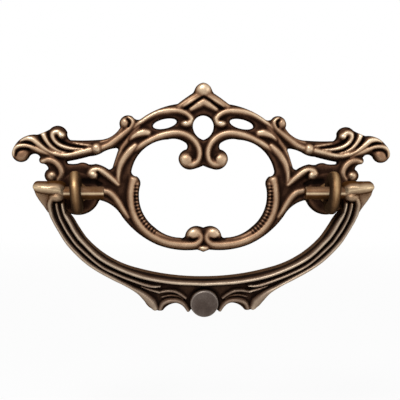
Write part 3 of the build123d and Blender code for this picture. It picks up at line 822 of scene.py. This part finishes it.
on_foot, foot_wear_and_painted_light, in_bracket, polish, groove = (a.reshape(bail_roll.shape) for a in flat_values)
# The edge's share darkens the rolled edges as painted shade; the polish also carries the arris's painted
# highlight
bail_wear_and_painted_light = summed(bail_wear_and_light_shares, (1, in_bracket, bail_step, polish, 1 - bail_roll, groove))
bail_wear_and_painted_light = np.where(on_foot, foot_wear_and_painted_light, bail_wear_and_painted_light)
bail_wear_and_painted_light = np.clip(bail_wear_and_painted_light, bail_least_wear + lug_least_wear * on_lug, 1)


def on_bail_plane(x, v, n):
    """A place on the bail's leaning plane: v runs up it and n stands out of its front, both turned by
    the lean about the line of the pins."""
    lean_sine, lean_cosine = np.sin(bail_lean), np.cos(bail_lean)
    return np.stack([x, -pin_height - v * lean_sine - n * lean_cosine, v * lean_cosine - n * lean_sine], 1)


def round_pin(start, end, radius, columns=72):
    """A pin turned about the line of the pins, with a small round at its free end: a share of the radius
    at each level. The thin line of light along its front is a painted highlight, a high power of the cosine
    of the angle, and painted light and shade make its top lighter and its underside darker."""
    way = np.sign(end - start)
    level = np.array([start, start, *(start + step * way for step in pin_rounding), end, end])
    reach = radius * np.array(pin_shares)[:, None]
    angle = np.linspace(0, 2 * np.pi, columns, endpoint=False) * way
    along = np.repeat(level[:, None], columns, 1)
    points = np.stack([along, -pin_height - reach * np.cos(angle), reach * np.sin(angle)], -1)
    line_of_light = pin_painted_highlight * np.clip(np.cos(angle + pin_line_turn), 0, 1) ** pin_line_power
    # rubbed holds painted light only: the highlight line, and a lighter top and a darker underside
    rubbed = line_of_light + pin_painted_top_light * np.sin(angle + pin_side_turn)
    wear = (np.array(pin_wear)[:, None] + rubbed).ravel()
    return points.reshape(-1, 3), around(len(level), columns, False)[:, ::-1], wear


bail_tones = [
    (0.0, (0.004, 0.003, 0.0025)), (0.2, (0.02, 0.01, 0.007)), (0.36, (0.075, 0.04, 0.023)),
    (0.5, (0.15, 0.1, 0.072)), (0.68, (0.295, 0.22, 0.16)), (0.85, (0.48, 0.385, 0.285)),
    (1.0, (0.74, 0.61, 0.44)),
]
bail_brass = antiqued_brass("bail_antiqued_brass", bail_tones, cloud_scale=360.0, gloss=0.36)


def vary_colour(material, centre, radius, pin_level, warmth, fade=0.0003, grey_share=0.55, warm_reach=0.005):
    """Greys the tone near a point, as on the foot that was rubbed flat: full colour past the radius and
    its fade, a share of it inside. Warms it by a factor that grows over the warm reach up to the pins'
    level."""
    nodes, link = material.node_tree.nodes, material.node_tree.links.new
    place = nodes.new("ShaderNodeTexCoord")
    gap = nodes.new("ShaderNodeVectorMath")
    gap.operation = "DISTANCE"
    gap.inputs[1].default_value = centre
    link(place.outputs["Object"], gap.inputs[0])
    axes = nodes.new("ShaderNodeSeparateXYZ")
    link(place.outputs["Object"], axes.inputs[0])
    both = nodes.new("ShaderNodeMath")
    both.operation = "MULTIPLY"
    grey = gap.outputs["Value"], radius, radius + fade, grey_share, 1.0
    warm = axes.outputs["Z"], pin_level - warm_reach, pin_level, 1.0, warmth
    for factor, (value, *limits) in zip(both.inputs, (grey, warm)):
        spread = nodes.new("ShaderNodeMapRange")
        for socket, limit in zip(("From Min", "From Max", "To Min", "To Max"), limits):
            spread.inputs[socket].default_value = limit
        link(value, spread.inputs["Value"])
        link(spread.outputs["Result"], factor)
    base = nodes["Principled BSDF"].inputs["Base Color"]
    tint = nodes.new("ShaderNodeHueSaturation")
    link(base.links[0].from_socket, tint.inputs["Color"])
    link(both.outputs[0], tint.inputs["Saturation"])
    link(tint.outputs["Color"], base)


foot_place = on_bail_plane(np.array([0.0]), np.array([foot_centre[1]]), np.array([foot_top]))[0] * MM
foot_grey_radius = 4.1
warm_level = -1.0
lug_warmth = 1.3
vary_colour(bail_brass, foot_place, foot_grey_radius * MM, warm_level * MM, lug_warmth)
bail_shell = closed_casting(
    bail_grid_x, bail_grid_v, bail_metal, bail_front, bail_rear, bail_wear_and_painted_light, on_bail_plane, *bail_wall
)
pins = [round_pin(side * pin_inner, side * (lug_face + pin_seat), pin_radius) for side in (1, -1)]
put_piece("bail_casting", [bail_shell, *pins], bail_brass, "bail", ["bail"])

# Nuts: two plain hexagon nuts of machined brass, chamfered on the outer face and bored for the thread.
# They sit on the inside of the drawer front and are left undarkened.
nut_flats = 7.0
nut_low = 19.0
nut_high = 22.2
nut_bore = 1.85
nut_countersink = 0.3
nut_face_share = 0.97
nut_fall = 0.577
nut_wear = (0.4, 0.7, 0.72, 0.85, 0.85, 0.78, 0.74, 0.4)


def hexagon_nut(x, columns=96):
    """A nut about a line along Y: the outer radius is half the flats over the cosine of the angle from
    the nearest flat, and the outer face falls, by a share of the reach, beyond the circle inside the
    flats."""
    angle = np.linspace(0, 2 * np.pi, columns, endpoint=False)
    outer = nut_flats / 2 / np.cos((angle + np.pi / 6) % (np.pi / 3) - np.pi / 6)
    inner, circle = np.full(columns, nut_bore), np.full(columns, nut_flats / 2 * nut_face_share)
    low, high = np.full(columns, nut_low), np.full(columns, nut_high)
    fall = nut_fall * (outer - circle)
    mouth = inner + nut_countersink
    radius = np.stack([inner, mouth, circle, outer, outer, circle, mouth, inner])
    level = np.stack([low + nut_countersink, low, low, low, high - fall, high, high, high - nut_countersink])
    points = np.stack([x + radius * np.cos(angle), level, -radius * np.sin(angle)], -1)
    wear = np.repeat(nut_wear, columns)
    return points.reshape(-1, 3), around(len(radius), columns, True), wear


nut_tones = [
    (0.0, (0.06, 0.04, 0.015)), (0.3, (0.2, 0.14, 0.055)), (0.55, (0.42, 0.31, 0.13)),
    (0.75, (0.6, 0.46, 0.21)), (1.0, (0.76, 0.62, 0.34)),
]
nut_brass = antiqued_brass("nut_machined_brass", nut_tones, cloud_scale=300.0, gloss=0.28)
nut_pair = [hexagon_nut(side * boss_centre[0]) for side in (-1, 1)]
put_piece("post_nuts", nut_pair, nut_brass, "fixed", ["nuts"])

# Studio: a pale floor well below the pull, white surroundings and two large soft lamps, one above
# the camera and a weaker one to the right.
floor_level = -0.075
floor_half = 3.0
scene = bpy.context.scene


def white_where_seen(tree, surface, lit):
    """Gives white of strength 1 to camera, glossy and transmission rays, and the lit shader to all
    others."""
    path = tree.nodes.new("ShaderNodeLightPath")
    seen = path.outputs["Is Camera Ray"]
    for kind in ("Is Glossy Ray", "Is Transmission Ray"):
        join = tree.nodes.new("ShaderNodeMath")
        join.operation = "MAXIMUM"
        tree.links.new(seen, join.inputs[0])
        tree.links.new(path.outputs[kind], join.inputs[1])
        seen = join.outputs[0]
    mix = tree.nodes.new("ShaderNodeMixShader")
    tree.links.new(seen, mix.inputs["Fac"])
    tree.links.new(lit.outputs[0], mix.inputs[1])
    tree.links.new(surface.outputs[0], mix.inputs[2])
    return mix


world = bpy.data.worlds.new("white_surroundings")
scene.world = world
world.use_nodes = True
tree = world.node_tree
seen_white = tree.nodes.new("ShaderNodeBackground")
seen_white.inputs["Color"].default_value = (1, 1, 1, 1)
soft_fill = tree.nodes["Background"]
soft_fill.inputs["Color"].default_value = (1, 1, 1, 1)
soft_fill.inputs["Strength"].default_value = 0.28
surroundings = white_where_seen(tree, seen_white, soft_fill)
tree.links.new(surroundings.outputs[0], tree.nodes["World Output"].inputs["Surface"])

floor_mesh = bpy.data.meshes.new("pale_floor")
floor_sides = ((-1, -1), (1, -1), (1, 1), (-1, 1))
floor_corners = [(a * floor_half, b * floor_half, floor_level) for a, b in floor_sides]
floor_mesh.from_pydata(floor_corners, [], [(0, 1, 2, 3)])
floor = bpy.data.objects.new("pale_floor", floor_mesh)
scene.collection.objects.link(floor)
floor_paint = bpy.data.materials.new("pale_floor_paint")
floor_paint.use_nodes = True
tree = floor_paint.node_tree
paint = tree.nodes["Principled BSDF"]
paint.inputs["Base Color"].default_value = (0.9, 0.9, 0.9, 1)
paint.inputs["Roughness"].default_value = 0.8
glow = tree.nodes.new("ShaderNodeEmission")
glow.inputs["Color"].default_value = (1, 1, 1, 1)
floor_place = tree.nodes.new("ShaderNodeTexCoord")
floor_reach = tree.nodes.new("ShaderNodeVectorMath")
floor_reach.operation = "LENGTH"
tree.links.new(floor_place.outputs["Object"], floor_reach.inputs[0])
floor_fade = tree.nodes.new("ShaderNodeMapRange")
for socket, value in (("From Min", 0.05), ("From Max", 1.2), ("To Min", 0.92), ("To Max", 1.0)):
    floor_fade.inputs[socket].default_value = value
tree.links.new(floor_reach.outputs["Value"], floor_fade.inputs["Value"])
shadowed = tree.nodes.new("ShaderNodeMixShader")
tree.links.new(floor_fade.outputs["Result"], shadowed.inputs["Fac"])
tree.links.new(paint.outputs[0], shadowed.inputs[1])
tree.links.new(glow.outputs[0], shadowed.inputs[2])
floor_look = white_where_seen(tree, shadowed, paint)
tree.links.new(floor_look.outputs[0], tree.nodes["Material Output"].inputs["Surface"])
floor_mesh.materials.append(floor_paint)

# Name, place, size and power of each lamp; both face the pull
lamps = [("key_lamp", (-0.14, -0.4, 0.44), 0.22, 3.4), ("fill_lamp", (0.4, -0.35, 0.1), 0.35, 0.6)]
for name, spot, size, watts in lamps:
    lamp = bpy.data.lights.new(name, "AREA")
    lamp.size = size
    lamp.energy = watts
    holder = bpy.data.objects.new(name, lamp)
    holder.location = spot
    turn = -np.array(spot)
    holder.rotation_euler = Vector(turn).to_track_quat("-Z", "Y").to_euler()
    scene.collection.objects.link(holder)

# Camera: level with the pins and a little to the left, at the photograph's distance. The lens and the
# shift, given in pixels of the picture, make the same framing.
view_distance = 0.287
view_turn = np.radians(3.9)
picture_pixels = 400
pixel_width = 0.0003077
shift_pixels = (-3.15, -7.0)
camera = bpy.data.cameras.new("photo_camera")
camera.sensor_width = 36
camera.lens = camera.sensor_width * view_distance / (picture_pixels * pixel_width)
camera.shift_x = shift_pixels[0] / picture_pixels
camera.shift_y = shift_pixels[1] / picture_pixels
camera.clip_start = 0.01
camera_stand = bpy.data.objects.new("photo_camera", camera)
camera_stand.location = (-view_distance * np.sin(view_turn), -view_distance * np.cos(view_turn), 0)
camera_stand.rotation_euler = (np.pi / 2, 0, -view_turn)
scene.collection.objects.link(camera_stand)
scene.camera = camera_stand
scene.view_settings.view_transform = "Standard"
